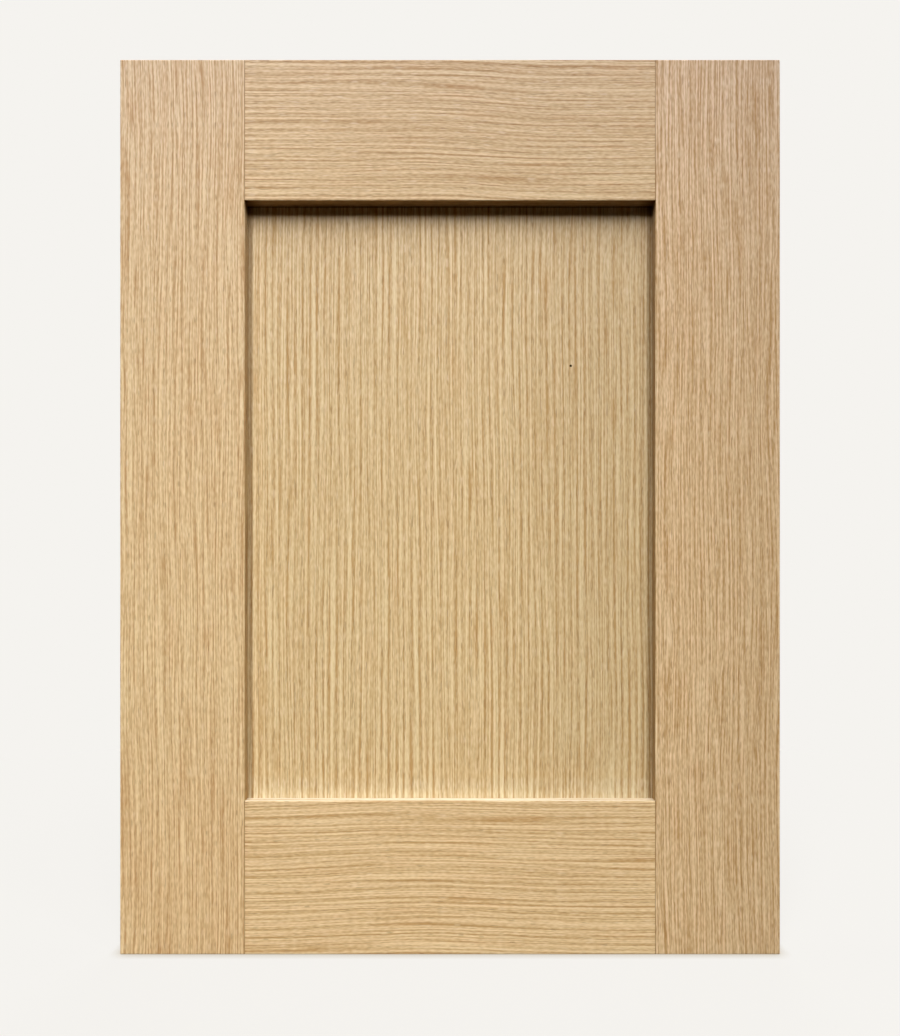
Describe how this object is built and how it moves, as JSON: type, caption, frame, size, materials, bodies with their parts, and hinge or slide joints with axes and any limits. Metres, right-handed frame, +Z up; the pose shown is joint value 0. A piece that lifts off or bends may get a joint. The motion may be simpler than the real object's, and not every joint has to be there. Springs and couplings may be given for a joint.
{
  "type": "kitchen cabinet door",
  "caption": "Flat-panel kitchen cabinet door in pale straight-grained oak, square-edged frame round a set-back panel, bored at the back for concealed hinges",
  "frame": {"origin": "middle of the door's bottom edge, halfway through its thickness", "axes": "X along the width, to the right seen from the front; Y through the thickness, from the front face to the back; Z up along the height"},
  "size_m": [0.45, 0.02, 0.61],
  "materials": {
    "stile_oak": "matt lacquer",
    "rail_oak": "matt lacquer",
    "panel_oak": "matt lacquer",
    "dowel_beech": "plain",
    "spacer_rubber": "matt"
  },
  "bodies": {
    "root": {"left_stile": "stile_oak", "right_stile": "stile_oak", "top_rail": "rail_oak", "bottom_rail": "rail_oak", "centre_panel": "panel_oak", "bottom_left_outer_dowel": "dowel_beech", "bottom_left_inner_dowel": "dowel_beech", "bottom_right_outer_dowel": "dowel_beech", "bottom_right_inner_dowel": "dowel_beech", "top_left_outer_dowel": "dowel_beech", "top_left_inner_dowel": "dowel_beech", "top_right_outer_dowel": "dowel_beech", "top_right_inner_dowel": "dowel_beech", "left_stile_bottom_spacer": "spacer_rubber", "left_stile_top_spacer": "spacer_rubber", "right_stile_bottom_spacer": "spacer_rubber", "right_stile_top_spacer": "spacer_rubber", "bottom_rail_left_spacer": "spacer_rubber", "bottom_rail_right_spacer": "spacer_rubber", "top_rail_left_spacer": "spacer_rubber", "top_rail_right_spacer": "spacer_rubber"}
  },
  "joints": []
}
